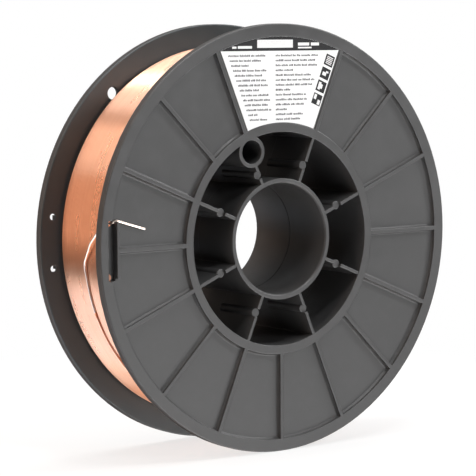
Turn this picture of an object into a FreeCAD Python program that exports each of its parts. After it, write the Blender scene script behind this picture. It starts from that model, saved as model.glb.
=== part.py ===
import FreeCAD
import Part
import math
import os

# A welding wire spool: two moulded plastic halves that meet at mid-width, the wire wound
# between their flanges, the bent end of the wire, and a paper label.
# The spool stands on its two rims. The bore runs along Y, the labelled face looks along -Y,
# and the label is at the top, at +Z. The origin is on the bore's axis, half-way along it.
# Angles are degrees about Y, seen from the labelled face: 0 is +X and 90 is +Z.

# Standard envelope of a 200 mm spool
spool_diameter = 200.0
spool_width = 55.0
bore_diameter = 52.0
drive_hole_diameter = 11.0
drive_hole_offset = 44.5
drive_hole_angle = 112.5

# Flange: a thin web with a thick rim, a ring round the barrel and radial ribs
flange_thickness = 4.2
panel_recess = 2.0
rim_band = 5.7
rim_edge_bevel = 0.4
panel_foot_bevel = 0.8
rib_width = 1.8
rib_pitches = 16
label_angle = 90.0

# Barrel that carries the wire, and hub tube that takes the arbor
barrel_diameter = 108.0
barrel_wall = 4.0
hub_wall = 2.3
bore_lead_in = 0.6
seam_chamfer = 0.35

# Webs between hub and barrel; those of the front half have a round column for an ejector pin
web_count = 8
web_first_angle = 22.5
web_thickness = 1.5
web_recess = 0.3
web_root_overlap = 0.6
column_diameter = 4.0
column_offset = 36.5
column_recess = 1.9
drive_ring_wall = 1.75

# Lip of the front barrel that locates the rear barrel at the seam
lip_thickness = 1.9
lip_length = 2.4
lip_clearance = 0.15

# Wire anchor: a deep slot at the left of the rim, with a wall beside it and a hole near each end
anchor_rim_left = 4.4
anchor_width = 4.6
anchor_length = 27.0
anchor_depth = 3.6
anchor_corner_radius = 0.8
anchor_wall = 1.3
anchor_wall_length = 24.8
anchor_hole_diameter = 3.0
anchor_hole_spacing = 24.0
start_hole_diameter = 6.0
start_hole_inset = 9.5
start_hole_angle = 131.3

# Wire: how far the winding stays below the rim, and the route of the end of the wire
wire_diameter = 1.0
wire_sides = 12
winding_below_rim = 10.4
wire_gap = 0.05
last_turn_y = 1.3
last_turn_start_angle = 200.0
last_turn_end_angle = 192.0
tail_lift = 11.0
tail_bulge = 1.5
tail_entry_gap = 4.0
tail_rise = 1.4
tail_across = 2.9
tail_length = 15.5
tail_slope_angle = -17.0

# Label, in a shallow panel of its own
label_recess = 0.35
label_thickness = 0.15
label_end_margin = 0.3
label_side_margin = 1.0

outer_radius = spool_diameter / 2
half_width = spool_width / 2
rim_inner = outer_radius - rim_band
barrel_outer = barrel_diameter / 2
barrel_inner = barrel_outer - barrel_wall
bore_radius = bore_diameter / 2
hub_outer = bore_radius + hub_wall
face_y = -half_width
panel_y = face_y + panel_recess
flange_inner_y = face_y + flange_thickness
web_front_y = face_y + web_recess
label_y = face_y + label_recess
anchor_outer = outer_radius - anchor_rim_left
anchor_hole = FreeCAD.Vector(anchor_width / 2 - anchor_outer, face_y, anchor_hole_spacing / 2)
start_hole_offset = outer_radius - start_hole_inset
winding_outer = outer_radius - winding_below_rim
rib_pitch = 360.0 / rib_pitches
label_start = label_angle - rib_pitch
label_end = label_angle + rib_pitch
web_pitch = 360.0 / web_count
spool_axis = FreeCAD.Vector(0, 1, 0)
column_radius = column_diameter / 2
column_top_y = face_y + column_recess
drive_radius = drive_hole_diameter / 2
drive_ring_radius = drive_radius + drive_ring_wall
right_angle = 90.0
cut_margin = 1.0


def at(radius, angle, y, across=0.0):
    """Point at a radius and angle about the bore, moved square to the radius by across."""
    a = math.radians(angle)
    x = radius * math.cos(a) - across * math.sin(a)
    z = radius * math.sin(a) + across * math.cos(a)
    return FreeCAD.Vector(x, y, z)


def turned(points):
    """Solid of revolution about the bore from (radius, y) points."""
    corners = [FreeCAD.Vector(radius, y, 0) for radius, y in points]
    outline = Part.makePolygon(corners + corners[:1])
    return Part.Face(outline).revolve(FreeCAD.Vector(0, 0, 0), spool_axis, 360)


def rod(radius, start, end):
    """Round rod between two points on a line parallel to the bore."""
    return Part.makeCylinder(radius, (end - start).Length, start, end - start)


def radial_bar(angle, r_start, r_end, width, y_start, y_end):
    """Bar along a radius, square in section."""
    bar = Part.makeBox(r_end - r_start, y_end - y_start, width)
    bar.translate(FreeCAD.Vector(r_start, y_start, -width / 2))
    bar.rotate(FreeCAD.Vector(0, 0, 0), spool_axis, -angle)
    return bar


def sector(angle_a, angle_b, r_in, r_out, rib_gap, y_start, y_end):
    """Prism between two radial ribs, with sides parallel to them."""
    def corner(radius, angle, side):
        along = math.sqrt(radius ** 2 - rib_gap ** 2)
        return at(along, angle, y_start, side * rib_gap)

    middle = (angle_a + angle_b) / 2
    a_in = corner(r_in, angle_a, 1)
    a_out = corner(r_out, angle_a, 1)
    b_in = corner(r_in, angle_b, -1)
    b_out = corner(r_out, angle_b, -1)
    outline = Part.Wire([
        Part.LineSegment(a_in, a_out).toShape(),
        Part.Arc(a_out, at(r_out, middle, y_start), b_out).toShape(),
        Part.LineSegment(b_out, b_in).toShape(),
        Part.Arc(b_in, at(r_in, middle, y_start), a_in).toShape(),
    ])
    return Part.Face(outline).extrude(FreeCAD.Vector(0, y_end - y_start, 0))


def runs_along_bore(edge):
    return abs(edge.tangentAt(edge.FirstParameter).y) > 0.99


def edges_at(solid, y):
    """Edges that lie flat in the plane at y."""
    box_test = [(edge, edge.BoundBox) for edge in solid.Edges]
    return [edge for edge, box in box_test if abs(box.YMin - y) < 1e-4 and abs(box.YMax - y) < 1e-4]


def panel_pocket(angle_a, angle_b, y_floor):
    """Recess of one flange panel."""
    return sector(angle_a, angle_b, barrel_outer, rim_inner, rib_width / 2, face_y - cut_margin, y_floor)


def panel_pockets():
    """All the panels, with bevelled feet; that of the label is shallow and two pitches wide."""
    pockets = [panel_pocket(label_start, label_end, label_y)]
    for i in range(1, rib_pitches - 1):
        start = label_angle + i * rib_pitch
        pocket = panel_pocket(start, start + rib_pitch, panel_y)
        pockets.append(pocket.makeChamfer(panel_foot_bevel, edges_at(pocket, panel_y)))
    return pockets


def anchor_side_wall():
    """Wall that stands on the panels along the inner side of the anchor slot."""
    wall = Part.makeBox(anchor_wall, panel_recess, anchor_wall_length)
    wall.translate(FreeCAD.Vector(anchor_width - anchor_outer, face_y, -anchor_wall_length / 2))
    return wall


def anchor_slot():
    """Slot at the left of the flange, square to the radius there."""
    slot = Part.makeBox(anchor_width, anchor_depth + cut_margin, anchor_length)
    slot.translate(FreeCAD.Vector(-anchor_outer, face_y - cut_margin, -anchor_length / 2))
    corners = [edge for edge in slot.Edges if runs_along_bore(edge)]
    return slot.makeFillet(anchor_corner_radius, corners)


def anchor_holes():
    through = FreeCAD.Vector(0, flange_thickness + cut_margin, 0)
    starts = [anchor_hole, FreeCAD.Vector(anchor_hole.x, anchor_hole.y, -anchor_hole.z)]
    return [rod(anchor_hole_diameter / 2, start, start + through) for start in starts]


def flange_and_barrel():
    """Turned body of one half: the flange at full thickness and the barrel up to the seam."""
    return turned([
        (barrel_inner, face_y),
        (outer_radius - rim_edge_bevel, face_y),
        (outer_radius, face_y + rim_edge_bevel),
        (outer_radius, flange_inner_y - rim_edge_bevel),
        (outer_radius - rim_edge_bevel, flange_inner_y),
        (barrel_outer, flange_inner_y),
        (barrel_outer, 0),
        (barrel_inner, 0),
    ])


def hub_tube():
    return turned([
        (bore_radius + bore_lead_in, face_y),
        (hub_outer, face_y),
        (hub_outer, 0),
        (bore_radius + seam_chamfer, 0),
        (bore_radius, -seam_chamfer),
        (bore_radius, face_y + bore_lead_in),
    ])


def web(angle, r_end):
    """Radial web from the hub out to r_end."""
    return radial_bar(angle, hub_outer - web_root_overlap, r_end, web_thickness, web_front_y, 0)


def web_with_column(angle, r_end, offset):
    """Web with a round column in it; the web is cut away in front of the column's top."""
    top = at(offset, angle, column_top_y)
    pin_path = rod(column_radius, at(offset, angle, face_y - cut_margin), top)
    column = rod(column_radius, top, at(offset, angle, 0))
    return web(angle, r_end).cut(pin_path).fuse(column)


def webs(with_columns):
    """All the webs; the one at the drive hole is shorter, and its column stands closer to the hub."""
    full_end = barrel_inner + web_root_overlap
    drive_end = drive_hole_offset - drive_radius - drive_ring_wall / 2
    drive_column = (hub_outer + drive_hole_offset - drive_ring_radius) / 2
    parts = []
    for i in range(web_count):
        angle = web_first_angle + i * web_pitch
        at_drive_hole = abs(angle - drive_hole_angle) < web_pitch / 2
        r_end = drive_end if at_drive_hole else full_end
        offset = drive_column if at_drive_hole else column_offset
        parts.append(web_with_column(angle, r_end, offset) if with_columns else web(angle, r_end))
    return parts


def drive_rod(radius, y_start, y_end):
    """Rod on the axis of the drive hole."""
    start = at(drive_hole_offset, drive_hole_angle, y_start)
    return rod(radius, start, at(drive_hole_offset, drive_hole_angle, y_end))


def lip_ring(extra, y_start, y_end):
    """Ring on the inner side of the barrel wall, thicker by extra."""
    return turned([
        (barrel_inner, y_start),
        (barrel_inner + lip_thickness + extra, y_start),
        (barrel_inner + lip_thickness + extra, y_end),
        (barrel_inner, y_end),
    ])


def moulded_half(is_front):
    """One half of the spool, in the front place."""
    body = flange_and_barrel()
    parts = [hub_tube(), drive_rod(drive_ring_radius, face_y, 0)] + webs(is_front)
    if is_front:
        parts.append(lip_ring(0, -lip_length, lip_length))
    body = body.fuse(parts).cut(panel_pockets()).fuse(anchor_side_wall()).removeSplitter()

    cuts = anchor_holes() + [anchor_slot()]
    cuts.append(drive_rod(drive_radius, face_y - cut_margin, lip_length + cut_margin))
    if not is_front:
        cuts.append(lip_ring(lip_clearance, -lip_length - lip_clearance, cut_margin))
        start = at(start_hole_offset, start_hole_angle, face_y - cut_margin)
        end = at(start_hole_offset, start_hole_angle, flange_inner_y + cut_margin)
        cuts.append(rod(start_hole_diameter / 2, start, end))
    return body.cut(cuts)


def front_half():
    return moulded_half(True)


def rear_half():
    half = moulded_half(False)
    return half.mirror(FreeCAD.Vector(0, 0, 0), spool_axis)


def wire_winding():
    """The whole winding as one turned solid; its last layer stops one wire short of each flange."""
    end = -flange_inner_y
    last_layer_end = end - wire_diameter
    layer_below = winding_outer - wire_diameter
    return turned([
        (barrel_outer, -end),
        (layer_below, -end),
        (layer_below, -last_layer_end),
        (winding_outer, -last_layer_end),
        (winding_outer, last_layer_end),
        (layer_below, last_layer_end),
        (layer_below, end),
        (barrel_outer, end),
    ])


def rounded_path(points, radii):
    """Straight runs through points, joined by tangent arcs of the given radii."""
    edges = []
    start = points[0]
    for i in range(1, len(points) - 1):
        corner = points[i]
        back = (points[i - 1] - corner).normalize()
        ahead = (points[i + 1] - corner).normalize()
        half_turn = (math.pi - back.getAngle(ahead)) / 2
        reach = radii[i - 1] * math.tan(half_turn)
        first = corner + back * reach
        last = corner + ahead * reach
        to_centre = (back + ahead).normalize()
        centre = corner + to_centre * (radii[i - 1] / math.cos(half_turn))
        middle = centre - to_centre * radii[i - 1]
        edges.append(Part.LineSegment(start, first).toShape())
        edges.append(Part.Arc(first, middle, last).toShape())
        start = last
    edges.append(Part.LineSegment(start, points[-1]).toShape())
    return edges


def wire_section(centre, ahead):
    """Section of the wire square to its run; few sides keep so thin a piece light."""
    across = ahead.cross(spool_axis)
    corners = []
    for i in range(wire_sides):
        a = 2 * math.pi * i / wire_sides
        corners.append(centre + (spool_axis * math.cos(a) + across * math.sin(a)) * (wire_diameter / 2))
    return Part.makePolygon(corners + corners[:1])


def wire_end():
    """End of the wire: it leaves the winding, goes out through the anchor hole and lies on the panel."""
    radius = winding_outer + wire_diameter / 2 + wire_gap
    leave = at(radius, last_turn_end_angle, last_turn_y)
    middle_angle = (last_turn_start_angle + last_turn_end_angle) / 2
    on_winding = Part.Arc(at(radius, last_turn_start_angle, last_turn_y),
                          at(radius, middle_angle, last_turn_y), leave)
    lifted = leave + at(tail_lift, last_turn_end_angle - right_angle, 0)
    entry = anchor_hole + FreeCAD.Vector(0, flange_thickness + tail_entry_gap, -tail_rise / 3)
    halfway = (lifted + entry) / 2 + FreeCAD.Vector(-tail_bulge / 2, tail_bulge, 0)
    out = FreeCAD.Vector(anchor_hole.x, panel_y - wire_diameter, anchor_hole.z + tail_rise / 3)
    on_panel = FreeCAD.Vector(anchor_hole.x + tail_across, panel_y - wire_diameter / 2 - wire_gap,
                              anchor_hole.z + tail_rise)
    tip = on_panel + at(tail_length, tail_slope_angle, 0)
    free = [leave, lifted, halfway, entry, out, on_panel, tip]
    bends = [9 * wire_diameter, 12 * wire_diameter, 5 * wire_diameter, wire_diameter, wire_diameter]
    path = Part.Wire([on_winding.toShape()] + rounded_path(free, bends))
    section = wire_section(on_winding.value(on_winding.FirstParameter),
                           at(1, last_turn_start_angle - right_angle, 0))
    return path.makePipeShell([section], True, False)


def label():
    """Paper label that fills the shallow panel."""
    return sector(label_start, label_end, barrel_outer + label_end_margin, rim_inner - label_end_margin,
                  rib_width / 2 + label_side_margin, label_y - label_thickness, label_y)


def main():
    os.makedirs("parts", exist_ok=True)
    nodes = {
        "front_half": front_half(),
        "rear_half": rear_half(),
        "wire_winding": wire_winding(),
        "wire_end": wire_end(),
        "label": label(),
    }
    for name, shape in nodes.items():
        print(name, shape.ShapeType, "solids", len(shape.Solids), "valid", shape.isValid(),
              "volume cm3", round(shape.Volume / 1000, 3))
        shape.exportStep("parts/" + name + ".step")


main()
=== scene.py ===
import bpy
import math
import random
from mathutils import Matrix, Vector


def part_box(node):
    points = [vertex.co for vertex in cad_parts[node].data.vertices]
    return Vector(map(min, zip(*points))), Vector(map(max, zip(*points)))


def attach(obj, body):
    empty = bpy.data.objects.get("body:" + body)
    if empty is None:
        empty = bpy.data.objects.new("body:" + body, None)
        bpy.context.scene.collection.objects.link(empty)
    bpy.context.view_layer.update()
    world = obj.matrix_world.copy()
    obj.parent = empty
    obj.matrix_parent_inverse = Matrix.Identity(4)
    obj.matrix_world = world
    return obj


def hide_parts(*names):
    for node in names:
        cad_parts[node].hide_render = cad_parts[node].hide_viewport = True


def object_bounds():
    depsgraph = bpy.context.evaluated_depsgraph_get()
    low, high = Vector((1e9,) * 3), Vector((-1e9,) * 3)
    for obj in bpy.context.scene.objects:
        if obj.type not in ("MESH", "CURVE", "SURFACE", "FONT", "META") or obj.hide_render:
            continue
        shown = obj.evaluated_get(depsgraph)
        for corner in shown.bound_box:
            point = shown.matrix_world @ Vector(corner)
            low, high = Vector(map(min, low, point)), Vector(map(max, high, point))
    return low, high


# Looks of a welding wire spool. Lengths are in metres; mm turns millimetres into them.
# The bore runs along Y, the labelled face looks along -Y, and angles are about Y, seen from
# the labelled face, with 0 at +X and 90 at +Z.

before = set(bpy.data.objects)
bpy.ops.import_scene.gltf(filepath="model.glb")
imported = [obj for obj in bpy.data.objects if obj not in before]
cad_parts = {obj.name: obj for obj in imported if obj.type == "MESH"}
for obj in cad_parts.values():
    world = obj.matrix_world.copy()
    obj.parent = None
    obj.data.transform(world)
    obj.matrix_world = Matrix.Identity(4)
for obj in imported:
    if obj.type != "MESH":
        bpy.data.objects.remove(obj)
cad_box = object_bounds()
mm = 0.001

# Camera, at the photograph's angle
camera_place = Vector((-0.610722, -0.830938, 0.095521))
camera_aim = Vector((-0.003419, 0.002315, -0.001521))
camera_roll = math.radians(-0.277)
camera_lens = 164.5
camera_sensor = 36.0

# Wire: its turns step over by one wire between the two angles of the crossover
wire_diameter = 1.0 * mm
wire_gap = 0.05 * mm
wire_sides = 12
turn_lift = 0.03 * mm
crossover = (20.0, 60.0)
segments_round_winding = 240
faces_across_turn = 6

# Last turn: it runs across the winding, then down beside the flange, then into the layer.
# Each of these starts at one angle and takes a number of degrees.
last_turn_y = 1.3 * mm
last_turn_start = 200.0
last_turn_step = 2.0
last_turn_points = 111
across_over = 125
down_start = 330
down_over = 16
into_layer_start = 380
into_layer_over = 40

# Label: its sides lie on lines that pass label_side_offset from the bore's axis
print_thickness = 0.02 * mm
print_lift = 0.01 * mm
label_half_angle = math.radians(22.5)
label_side_offset = 1.9 * mm
header_low = 87.4 * mm
header_inset = 0.03 * mm
header_steps = 32
text_lines = 14
text_pitch = 2.26 * mm
text_height = 0.90 * mm
left_column_end = -5.6 * mm
right_column_start = -3.0 * mm
box_top = 82.5 * mm
box_pitch = 6.0 * mm
box_side = 5.3 * mm
box_inset = 3.5 * mm

# Lines of print: distances from the header, from the label's sides and between words
text_below_header = 2.6 * mm
text_left_margin = 2.9 * mm
text_right_margin = 8.2 * mm
word_gap = 0.45 * mm
bar_gap = 0.20 * mm
shortest_word = 1.0 * mm

# Least and greatest width of a word and of a bar, in mm; a bar's height, as a share of text_height
word_widths = (1.8, 6.0)
bar_widths = (0.30, 0.75)
bar_heights = (0.75, 1.0)

# Share of its column that a line fills: a short one, a full one at the left, a full one at the right
short_line = (0.35, 0.65)
full_left_line = (0.78, 1.0)
full_right_line = (0.82, 1.0)

# Plain light bars in the header, in mm: low x, high x, low z, height
header_bars = ((-27.8, -25.4, 88.5, 1.0), (-24.6, -16.6, 88.5, 1.2), (-13.6, 7.0, 88.8, 3.7),
               (10.0, 16.6, 89.7, 1.4), (17.6, 22.4, 89.7, 1.4), (10.0, 18.0, 88.4, 0.7))

# Light marks on the four dark boxes, as shares of a box's side: low corner, high corner
box_marks = ((((-0.34, -0.34), (0.34, -0.26)), ((-0.34, -0.19), (0.34, -0.11)),
              ((-0.34, -0.04), (0.34, 0.04)), ((-0.34, 0.11), (0.34, 0.19)),
              ((-0.34, 0.26), (0.34, 0.34))),
             (((-0.30, -0.22), (0.12, 0.10)), ((0.02, 0.10), (0.30, 0.26))),
             (((-0.34, -0.34), (-0.06, 0.34)), ((-0.06, -0.20), (0.14, 0.20))),
             (((-0.40, -0.05), (-0.12, 0.40)), ((0.10, -0.40), (0.40, 0.02))))

# Strip lights: angle about Y, level and tint; between two angles the light changes evenly
strip_peak = 6.0
room_level = 0.03
warm = (1.0, 0.66, 0.47)
cream = (1.0, 0.86, 0.76)
plain = (1.0, 1.0, 1.0)
cool = (0.94, 1.0, 1.12)
strip_lights = ((0, 0.10, plain), (30, 0.20, plain), (46, 3.1, plain), (100, 3.1, plain),
                (116, 3.3, plain), (118.5, 1.7, cream), (124, 1.7, cream), (126.5, 3.5, cream),
                (141, 3.3, cream), (149, 2.8, cream), (153, 2.1, warm), (182, 2.15, warm),
                (187, 1.2, warm), (194, 0.75, warm), (200, 0.8, plain), (204, 2.4, plain),
                (209, 3.8, cool), (242, 3.6, cool), (252, 2.6, plain), (259, 1.8, plain),
                (266, 1.2, warm), (274, 0.9, warm), (290, 0.3, plain), (330, 0.1, plain))

# Limits of the strips and of the bright table below, as parts of a direction along X, Y and Z
strip_near_y = (-0.32, -0.14)
strip_far_y = (0.40, 0.56)
strip_far_level = 0.05
table_level = 9.0
table_z = (-0.05, -0.35)
table_y = (-0.24, -0.45)
table_left_x = (0.0, 0.35)
table_right_x = (0.35, 0.80)

# Square lamps that face the spool: place, side and radiance
lamps = {"key": ((0.31, -1.36, 0.65), 0.40, 12.0),
         "side": ((1.22, -0.70, 0.77), 0.32, 36.0),
         "top": ((-0.12, -0.63, 1.35), 0.22, 30.0)}

# Round floor: it turns white to the camera between two shares of its reach
floor_reach = 0.34
floor_sides = 96
floor_fade = (0.5, 0.95)
floor_white_share = 0.72

# Painted shade on the inner faces of the flanges above the winding: darker and a little bluer, to cancel
# the warm light bounced off the copper. Limits of |y| and of the radius
shaded_inner_face_depth = (23.9 * mm, 23.5 * mm)
shaded_inner_face_radius = (88.0 * mm, 90.0 * mm)

# Corner order of a block whose first four corners lie on its back
block_faces = [(0, 1, 2, 3), (7, 6, 5, 4), (0, 4, 5, 1), (1, 5, 6, 2), (2, 6, 7, 3), (3, 7, 4, 0)]


def along(angle, radius, y):
    a = math.radians(angle)
    return Vector((radius * math.cos(a), y, radius * math.sin(a)))


def smooth(t):
    t = min(1.0, max(0.0, t))
    return t * t * (3 - 2 * t)


def add_mesh(name, vertices, faces, material, is_smooth=True):
    mesh = bpy.data.meshes.new(name)
    mesh.from_pydata([tuple(v) for v in vertices], [], faces)
    mesh.validate()
    mesh.update()
    piece = bpy.data.objects.new(name, mesh)
    bpy.context.scene.collection.objects.link(piece)
    mesh.materials.append(material)
    mesh.polygons.foreach_set("use_smooth", [is_smooth] * len(mesh.polygons))
    return piece


# Shader helpers

class Shader:
    """Node tree of a material or a world, with short ways to add nodes and join them."""

    def __init__(self, owner):
        if isinstance(owner, str):
            owner = bpy.data.materials.new(owner)
        owner.use_nodes = True
        self.owner = owner
        self.tree = owner.node_tree
        self.tree.nodes.clear()

    def add(self, kind, inputs=(), **settings):
        node = self.tree.nodes.new(kind)
        for key, value in settings.items():
            setattr(node, key, value)
        for key, value in dict(inputs).items():
            self.put(node.inputs[key], value)
        return node

    def put(self, socket, value):
        if isinstance(value, bpy.types.NodeSocket):
            self.tree.links.new(value, socket)
        else:
            socket.default_value = value

    def math(self, operation, a, b=0.0):
        return self.add("ShaderNodeMath", {0: a, 1: b}, operation=operation).outputs[0]

    def vector(self, operation, a, b=(0.0, 0.0, 0.0), c=(0.0, 0.0, 0.0)):
        node = self.add("ShaderNodeVectorMath", {0: a, 1: b, 2: c}, operation=operation)
        return node.outputs["Value"] if operation in ("DOT_PRODUCT", "LENGTH") else node.outputs[0]

    def position(self):
        return self.add("ShaderNodeTexCoord").outputs["Object"]

    def noise(self, place, scale, detail=3.0, roughness=0.5, distortion=0.0):
        inputs = {"Vector": place, "Scale": scale, "Detail": detail, "Roughness": roughness,
                  "Distortion": distortion}
        return self.add("ShaderNodeTexNoise", inputs).outputs["Fac"]

    def spread(self, value, low, high, to_low=0.0, to_high=1.0):
        inputs = {"Value": value, "From Min": low, "From Max": high, "To Min": to_low, "To Max": to_high}
        return self.add("ShaderNodeMapRange", inputs).outputs["Result"]

    def blend(self, factor, a, b):
        node = self.add("ShaderNodeMix", data_type="RGBA")
        self.put(node.inputs[0], factor)
        self.put(node.inputs[6], a)
        self.put(node.inputs[7], b)
        return node.outputs[2]

    def stretched(self, place, scale):
        return self.vector("MULTIPLY", place, scale)

    def bump(self, height, strength, distance, normal=None):
        node = self.add("ShaderNodeBump", {"Height": height, "Strength": strength, "Distance": distance})
        if normal is not None:
            self.put(node.inputs["Normal"], normal)
        return node.outputs["Normal"]

    def surface(self, shader):
        output = self.add("ShaderNodeOutputMaterial")
        self.put(output.inputs["Surface"], shader)
        return self.owner


def rgb(r, g, b):
    return (r, g, b, 1.0)


def plastic_material():
    """Dark grey moulded polystyrene: satin, with a fine grain, flow marks and pale edges, partly rubbed
    wear and partly a painted highlight.
    """
    s = Shader("spool_plastic")
    place = s.position()
    cloud = s.noise(place, 14.0, 4.0)
    mottle = s.noise(place, 160.0, 3.0)
    grain = s.noise(place, 2600.0, 2.0)
    flow = s.noise(s.stretched(place, (60.0, 900.0, 60.0)), 1.0, 3.0, 0.6, 0.8)
    scratch = s.noise(s.stretched(place, (1500.0, 60.0, 90.0)), 1.0, 2.0, 0.7, 1.2)
    rounded = s.add("ShaderNodeBevel", {"Radius": 0.55 * mm}, samples=6).outputs["Normal"]
    true_normal = s.add("ShaderNodeNewGeometry").outputs["Normal"]
    edge = s.math("SUBTRACT", 1.0, s.vector("DOT_PRODUCT", rounded, true_normal))
    edge = s.math("MULTIPLY", s.spread(edge, 0.02, 0.25), s.spread(mottle, 0.35, 0.65))
    tone = s.blend(s.spread(cloud, 0.3, 0.7), rgb(0.052, 0.052, 0.053), rgb(0.062, 0.062, 0.063))
    tone = s.blend(s.math("MULTIPLY", s.spread(mottle, 0.45, 0.75), 0.35), tone, rgb(0.072, 0.072, 0.074))
    # Painted shade: the flanges' inner faces above the winding turn darker and a little bluer, against the
    # copper's warm bounce light
    depth = s.math("ABSOLUTE", s.add("ShaderNodeSeparateXYZ", {0: place}).outputs["Y"])
    radius = s.vector("LENGTH", s.stretched(place, (1.0, 0.0, 1.0)))
    inside = s.math("MULTIPLY", s.spread(depth, *shaded_inner_face_depth), s.spread(radius, *shaded_inner_face_radius))
    tone = s.blend(inside, tone, rgb(0.034, 0.046, 0.052))
    # Pale edges, partly rubbed wear and partly a painted highlight standing for the light lines on rounded
    # rib and rim edges
    tone = s.blend(s.math("MULTIPLY", edge, 0.5), tone, rgb(0.190, 0.190, 0.192))
    rough = s.spread(cloud, 0.3, 0.7, 0.36, 0.44)
    rough = s.math("ADD", rough, s.spread(mottle, 0.3, 0.7, -0.03, 0.05))
    rough = s.math("ADD", rough, s.spread(scratch, 0.62, 0.75, 0.0, 0.10))
    rough = s.math("SUBTRACT", rough, s.math("MULTIPLY", edge, 0.16))
    normal = s.bump(s.noise(place, 34.0, 2.0), 0.10, 0.4 * mm, rounded)
    normal = s.bump(flow, 0.05, 0.06 * mm, normal)
    normal = s.bump(grain, 0.25, 0.03 * mm, normal)
    body = s.add("ShaderNodeBsdfPrincipled", {"Base Color": tone, "Roughness": rough, "Normal": normal,
                                              "IOR": 1.55})
    return s.surface(body.outputs[0])


def wire_material(name, light, dark, tarnish, across_blur):
    """Copper-coated steel wire: bright metal with drawing marks along it and faint tarnish."""
    s = Shader(name)
    place = s.position()
    turns = s.noise(s.stretched(place, (9.0, 1100.0, 9.0)), 1.0, 3.0, 0.6)
    bands = s.noise(s.stretched(place, (14.0, 160.0, 14.0)), 1.0, 3.0, 0.55)
    stain = s.noise(place, 55.0, 4.0, 0.6, 0.4)
    tone = s.blend(s.spread(turns, 0.3, 0.7), dark, light)
    tone = s.blend(s.math("MULTIPLY", s.spread(stain, 0.55, 0.8), 0.15), tone, tarnish)
    rough = s.spread(bands, 0.3, 0.7, 0.26, 0.31)
    rough = s.math("ADD", rough, s.spread(stain, 0.5, 0.8, 0.0, 0.04))
    normal = s.bump(s.noise(s.stretched(place, (300.0, 9000.0, 300.0)), 1.0, 2.0), 0.01, 0.02 * mm)
    round_bore = s.add("ShaderNodeTangent", direction_type="RADIAL", axis="Y").outputs[0]
    body = s.add("ShaderNodeBsdfPrincipled", {"Base Color": tone, "Metallic": 1.0, "Roughness": rough,
                                              "Normal": normal, "Tangent": round_bore,
                                              "Anisotropic": across_blur, "Anisotropic Rotation": 0.25})
    return s.surface(body.outputs[0])


def paper_material():
    """White label paper with a faint fibre and a soft sheen."""
    s = Shader("label_paper")
    place = s.position()
    fibre = s.noise(s.stretched(place, (900.0, 900.0, 2200.0)), 1.0, 4.0, 0.6)
    cloud = s.noise(place, 45.0, 3.0)
    tone = s.blend(s.spread(cloud, 0.3, 0.7), rgb(0.830, 0.835, 0.840), rgb(0.880, 0.880, 0.875))
    tone = s.blend(s.math("MULTIPLY", s.spread(fibre, 0.5, 0.8), 0.12), tone, rgb(0.74, 0.74, 0.735))
    normal = s.bump(cloud, 0.10, 0.5 * mm)
    normal = s.bump(fibre, 0.15, 0.02 * mm, normal)
    body = s.add("ShaderNodeBsdfPrincipled", {"Base Color": tone, "Normal": normal, "Roughness": 0.42})
    return s.surface(body.outputs[0])


def ink_material(name, light, dark):
    """Printing ink, a little uneven where the fibre shows through."""
    s = Shader(name)
    place = s.position()
    wear = s.noise(place, 1600.0, 3.0, 0.6)
    tone = s.blend(s.spread(wear, 0.35, 0.7), dark, light)
    normal = s.bump(s.noise(place, 900.0, 3.0), 0.12, 0.01 * mm)
    body = s.add("ShaderNodeBsdfPrincipled", {"Base Color": tone, "Normal": normal, "Roughness": 0.5,
                                              "IOR": 1.35})
    return s.surface(body.outputs[0])


# Wire

def tube(points, radius, sides):
    """Vertices and faces of a closed round tube along points."""
    vertices = []
    faces = []
    up = Vector((0, 1, 0))
    for i, point in enumerate(points):
        before = points[max(i - 1, 0)]
        after = points[min(i + 1, len(points) - 1)]
        ahead = (after - before).normalized()
        side = ahead.cross(up).normalized()
        up = side.cross(ahead).normalized()
        for j in range(sides):
            a = 2 * math.pi * j / sides
            vertices.append(point + radius * (math.cos(a) * side + math.sin(a) * up))
    for i in range(len(points) - 1):
        for j in range(sides):
            k = (j + 1) % sides
            faces.append((i * sides + j, i * sides + k, (i + 1) * sides + k, (i + 1) * sides + j))
    faces.append(tuple(reversed(range(sides))))
    faces.append(tuple(range((len(points) - 1) * sides, len(points) * sides)))
    return vertices, faces


def winding_layer(radius, y_low, turns):
    """Outer skin of one layer of touching turns; each turn steps over by one wire in the crossover."""
    start, end = crossover
    half = wire_diameter / 2
    wobble = random.Random(7)
    lift = [wobble.uniform(-turn_lift, turn_lift) for _ in range(turns + 2)]
    vertices = []
    faces = []
    row = faces_across_turn + 1
    rings = turns * segments_round_winding
    for i in range(rings + 1):
        turn, step = divmod(i, segments_round_winding)
        angle = end + 360.0 * step / segments_round_winding
        shift = smooth((angle - end - (360 - (end - start))) / (end - start))
        middle = y_low + wire_diameter * (turn + shift + 0.5)
        raised = lift[turn] + (lift[turn + 1] - lift[turn]) * shift
        for j in range(row):
            across = math.pi * j / faces_across_turn
            y = middle - half * math.cos(across)
            r = radius - half + half * math.sin(across) + raised
            vertices.append(along(angle, r, y))
    for i in range(rings):
        for j in range(faces_across_turn):
            a = i * row + j
            faces.append((a, a + 1, a + row + 1, a + row))
    return vertices, faces


def turned_ring(profile, segments):
    """Vertices and faces of a closed profile turned about the bore."""
    vertices = []
    faces = []
    count = len(profile)
    for i in range(segments):
        for r, y in profile:
            vertices.append(along(360.0 * i / segments, r, y))
    for i in range(segments):
        for j in range(count):
            a = i * count + j
            b = i * count + (j + 1) % count
            c = ((i + 1) % segments) * count + (j + 1) % count
            d = ((i + 1) % segments) * count + j
            faces.append((a, b, c, d))
    return vertices, faces


def round_top(middle_y, crest):
    """Profile points over one wire, from low to high y."""
    half = wire_diameter / 2
    points = []
    for j in range(faces_across_turn + 1):
        across = math.pi * j / faces_across_turn
        points.append((crest - half + half * math.sin(across), middle_y - half * math.cos(across)))
    return points


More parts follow.
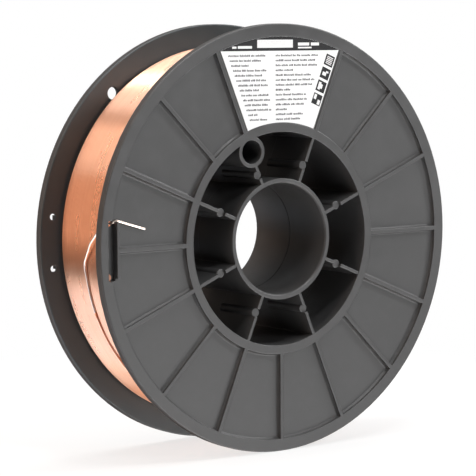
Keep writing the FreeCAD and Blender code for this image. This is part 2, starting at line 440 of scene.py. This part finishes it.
def join(parts):
    vertices = []
    faces = []
    for part_vertices, part_faces in parts:
        offset = len(vertices)
        vertices += part_vertices
        faces += [tuple(i + offset for i in face) for face in part_faces]
    return vertices, faces


def winding_bore_radius():
    """Inner radius of the winding, read from its corners."""
    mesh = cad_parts["wire_winding"].data
    return min(math.hypot(v.co.x, v.co.z) for v in mesh.vertices)


def wound_wire(material):
    """The winding: its outer layer of turns, on a core that ends in a round wire at each flange."""
    _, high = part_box("wire_winding")
    crest = high.z
    below = crest - wire_diameter
    inner = winding_bore_radius()
    end = high.y
    turns = int(round((2 * end - 2 * wire_diameter) / wire_diameter - 1))
    layer = winding_layer(crest, -end + wire_diameter, turns)
    profile = [(inner, -end)] + round_top(-end + wire_diameter / 2, below)
    profile += round_top(end - wire_diameter / 2, below) + [(inner, end)]
    core = turned_ring(profile, segments_round_winding)
    piece = add_mesh("wound_wire", *join([layer, core]), material)
    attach(piece, "root")
    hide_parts("wire_winding")


def last_turn(material):
    """The last turn: from the anchored end round the winding, across it and down beside the flange."""
    _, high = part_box("wire_winding")
    on_top = high.z + wire_diameter / 2 + wire_gap
    in_layer = high.z - wire_diameter / 2
    beside_flange = -high.y + wire_diameter / 2
    points = []
    for step in range(last_turn_points):
        angle = last_turn_start + last_turn_step * step
        across = smooth((angle - last_turn_start) / across_over)
        down = smooth((angle - down_start) / down_over)
        into_layer = smooth((angle - into_layer_start) / into_layer_over)
        y = last_turn_y + (beside_flange - last_turn_y) * across + wire_diameter * into_layer
        radius = on_top + (in_layer - on_top) * down
        points.append(along(angle, radius, y))
    piece = add_mesh("last_turn", *tube(points, wire_diameter / 2, wire_sides), material)
    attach(piece, "root")


# Label

def print_bar(x_low, x_high, z_low, z_high, y_face):
    """Thin block of ink on the label."""
    y_back = y_face - print_lift
    y_front = y_back - print_thickness
    vertices = [Vector((x, y, z)) for y in (y_back, y_front)
                for x, z in ((x_low, z_low), (x_high, z_low), (x_high, z_high), (x_low, z_high))]
    return vertices, block_faces


def text_line(x_low, x_high, z, y_face, chance):
    """A line of small plain bars, set in groups of word length."""
    parts = []
    x = x_low
    while x < x_high - shortest_word:
        word_end = min(x + chance.uniform(*word_widths) * mm, x_high)
        while x < word_end:
            width = chance.uniform(*bar_widths) * mm
            height = text_height * chance.choice(bar_heights)
            parts.append(print_bar(x, x + width, z, z + height, y_face))
            x += width + bar_gap
        x += word_gap
    return parts


def label_half_width(z, radius):
    """Half the label's width at height z, inside its slanted sides and its round top."""
    slanted = (z - label_side_offset / math.sin(label_half_angle)) * math.tan(label_half_angle)
    return min(slanted, math.sqrt(max(radius * radius - z * z, 0.0)))


def header_shape(low_z, radius, y_face):
    """Dark band across the top of the label, from a level line up to the round edge."""
    rim = []
    for i in range(header_steps + 1):
        angle = label_corner_angle(radius) * (1 - 2 * i / header_steps)
        rim.append((-radius * math.sin(angle), radius * math.cos(angle)))
    half = label_half_width(low_z, radius)
    outline = [(-half, low_z)] + rim + [(half, low_z)]
    count = len(outline)
    vertices = [Vector((x, y, z)) for y in (y_face - print_lift, y_face - print_lift - print_thickness)
                for x, z in outline]
    faces = [tuple(reversed(range(count))), tuple(range(count, 2 * count))]
    for i in range(count):
        j = (i + 1) % count
        faces.append((i, j, count + j, count + i))
    return vertices, faces


def label_corner_angle(radius):
    """Angle from the upright at which the round top meets a slanted side."""
    return label_half_angle - math.asin(label_side_offset / radius)


def tilted_bar(centre_x, centre_z, low, high, y_face):
    """Block of ink in a box's own frame, turned to follow the label's right side."""
    vertices, faces = print_bar(low[0] * box_side, high[0] * box_side,
                                low[1] * box_side, high[1] * box_side, y_face)
    turned = []
    for v in vertices:
        x = v.x * math.cos(label_half_angle) + v.z * math.sin(label_half_angle)
        z = -v.x * math.sin(label_half_angle) + v.z * math.cos(label_half_angle)
        turned.append(Vector((centre_x + x, v.y, centre_z + z)))
    return turned, faces


def printed(name, parts, material):
    piece = add_mesh(name, *join(parts), material, False)
    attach(piece, "root")


def label_print(dark, grey, white):
    """Print in the places where the label carries it: plain bars and boxes only."""
    low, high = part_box("label")
    y_face = low.y
    y_over = y_face - print_lift - print_thickness
    radius = high.z - header_inset
    chance = random.Random(11)
    printed("label_header", [header_shape(header_low, radius, y_face)], dark)
    bars = [print_bar(x_low * mm, x_high * mm, z_low * mm, (z_low + height) * mm, y_over)
            for x_low, x_high, z_low, height in header_bars]
    printed("label_header_bars", bars, white)

    lines = []
    for i in range(text_lines):
        z = header_low - text_below_header - text_pitch * i
        left = text_left_margin - label_half_width(z, radius)
        right = right_column_start
        right_end = label_half_width(z, radius) - text_right_margin
        left_reach = chance.uniform(*(short_line if i % 5 == 2 else full_left_line))
        right_reach = chance.uniform(*(short_line if i % 4 == 3 else full_right_line))
        lines += text_line(left, left + (left_column_end - left) * left_reach, z, y_face, chance)
        lines += text_line(right, right + (right_end - right) * right_reach, z, y_face, chance)
    printed("label_lines", lines, grey)

    boxes = []
    marks = []
    for i, shares in enumerate(box_marks):
        z = box_top - box_pitch * i
        x = label_half_width(z, radius) - box_inset
        boxes.append(tilted_bar(x, z, (-0.5, -0.5), (0.5, 0.5), y_face))
        marks += [tilted_bar(x, z, corner_low, corner_high, y_over) for corner_low, corner_high in shares]
    printed("label_boxes", boxes, dark)
    printed("label_box_marks", marks, white)


# Camera, floor and light

def add_camera():
    data = bpy.data.cameras.new("camera")
    data.lens = camera_lens
    data.sensor_width = camera_sensor
    data.clip_start = 0.01
    data.clip_end = 20.0
    camera = bpy.data.objects.new("camera", data)
    ahead = (camera_aim - camera_place).normalized()
    level = ahead.cross(Vector((0, 0, 1))).normalized()
    right = level * math.cos(camera_roll) + level.cross(ahead) * math.sin(camera_roll)
    up = right.cross(ahead)
    turn = Matrix((right, up, -ahead)).transposed().to_4x4()
    camera.matrix_world = Matrix.Translation(camera_place) @ turn
    bpy.context.scene.collection.objects.link(camera)
    bpy.context.scene.camera = camera


def floor_material():
    """White floor with a soft shadow, whiter to the camera; reflections look past it."""
    s = Shader("floor")
    place = s.position()
    distance = s.vector("LENGTH", place)
    rays = s.add("ShaderNodeLightPath")
    seen = s.math("MAXIMUM", rays.outputs["Is Camera Ray"], rays.outputs["Is Transmission Ray"])
    fade_start, fade_end = floor_fade
    share = s.spread(distance, fade_start * floor_reach, fade_end * floor_reach, floor_white_share, 1.0)
    dull = s.add("ShaderNodeBsdfDiffuse", {"Color": rgb(0.86, 0.86, 0.86)})
    bright = s.add("ShaderNodeEmission", {"Color": rgb(1, 1, 1), "Strength": 1.0})
    mixed = s.add("ShaderNodeMixShader", {0: s.math("MULTIPLY", seen, share), 1: dull.outputs[0],
                                          2: bright.outputs[0]})
    clear = s.add("ShaderNodeBsdfTransparent")
    whole = s.add("ShaderNodeMixShader", {0: rays.outputs["Is Glossy Ray"], 1: mixed.outputs[0],
                                          2: clear.outputs[0]})
    return s.surface(whole.outputs[0])


def add_floor():
    bottom = cad_box[0].z
    vertices = [Vector((0, 0, bottom))]
    faces = []
    for i in range(floor_sides):
        a = 2 * math.pi * i / floor_sides
        vertices.append(Vector((floor_reach * math.cos(a), floor_reach * math.sin(a), bottom)))
        faces.append((0, i + 1, (i + 1) % floor_sides + 1))
    floor = add_mesh("floor", vertices, faces, floor_material(), False)


def add_light(name, place, side, radiance):
    data = bpy.data.lights.new(name, "AREA")
    data.shape = "RECTANGLE"
    data.size = side
    data.size_y = side
    data.energy = radiance * math.pi * side * side
    light = bpy.data.objects.new(name, data)
    aim = (Vector((0, 0, 0)) - Vector(place)).to_track_quat("-Z", "Y").to_matrix().to_4x4()
    light.matrix_world = Matrix.Translation(Vector(place)) @ aim
    bpy.context.scene.collection.objects.link(light)


def add_world():
    """Strip lights parallel to the bore and a bright table low in front; white to the camera."""
    world = bpy.data.worlds.new("studio")
    bpy.context.scene.world = world
    s = Shader(world)
    split = s.add("ShaderNodeSeparateXYZ", {0: s.add("ShaderNodeTexCoord").outputs["Generated"]})
    turn = s.math("ARCTAN2", split.outputs["Z"], split.outputs["X"])
    ramp = s.add("ShaderNodeValToRGB", {"Fac": s.math("FRACT", s.math("DIVIDE", turn, 2 * math.pi))})
    while len(ramp.color_ramp.elements) < len(strip_lights):
        ramp.color_ramp.elements.new(0.5)
    for element, (angle, level, tint) in zip(ramp.color_ramp.elements, strip_lights):
        element.position = angle / 360
        element.color = rgb(*[level * share / strip_peak for share in tint])
    x, y, z = (split.outputs[name] for name in ("X", "Y", "Z"))
    reach = s.math("MULTIPLY", s.spread(y, *strip_near_y), s.spread(y, *strip_far_y, 1.0, strip_far_level))
    strips = s.blend(reach, rgb(0, 0, 0), ramp.outputs[0])
    strips = s.vector("MULTIPLY_ADD", strips, (strip_peak,) * 3, (room_level,) * 3)
    table = s.math("MULTIPLY", s.spread(z, *table_z), s.spread(y, *table_y))
    table = s.math("MULTIPLY", table, s.spread(x, *table_left_x))
    table = s.math("MULTIPLY", table, s.spread(x, *table_right_x, table_level, 0.0))
    light = s.vector("ADD", strips, table)
    camera_rays = s.add("ShaderNodeLightPath").outputs["Is Camera Ray"]
    back = s.add("ShaderNodeBackground", {"Color": s.blend(camera_rays, light, rgb(1, 1, 1))})
    s.put(s.add("ShaderNodeOutputWorld").inputs["Surface"], back.outputs[0])


def dress_cad_nodes(finish):
    """Gives each named solid of the frame its material."""
    for name, material in finish.items():
        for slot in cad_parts[name].material_slots:
            slot.material = material


plastic = plastic_material()
copper = wire_material("coated_wire", rgb(0.950, 0.560, 0.400), rgb(0.910, 0.510, 0.350),
                       rgb(0.720, 0.380, 0.250), across_blur=0.96)
# Painted highlight: the wire end gets a paler, near-white copper than the winding, standing for the bright
# highlight along it
bright_wire = wire_material("bright_wire", rgb(0.960, 0.840, 0.760), rgb(0.930, 0.780, 0.690),
                            rgb(0.850, 0.600, 0.480), across_blur=0.0)
paper = paper_material()
dark_ink = ink_material("dark_ink", rgb(0.022, 0.022, 0.023), rgb(0.014, 0.014, 0.015))
grey_ink = ink_material("grey_ink", rgb(0.12, 0.12, 0.125), rgb(0.05, 0.05, 0.055))
white_ink = ink_material("white_ink", rgb(0.84, 0.84, 0.84), rgb(0.74, 0.74, 0.74))
add_camera()
add_floor()
add_world()
for lamp, (place, side, radiance) in lamps.items():
    add_light(lamp, place, side, radiance)
dress_cad_nodes({"front_half": plastic, "rear_half": plastic, "wire_end": bright_wire, "label": paper})
wound_wire(copper)
last_turn(copper)
label_print(dark_ink, grey_ink, white_ink)

view = bpy.context.scene.view_settings
view.view_transform = "Standard"
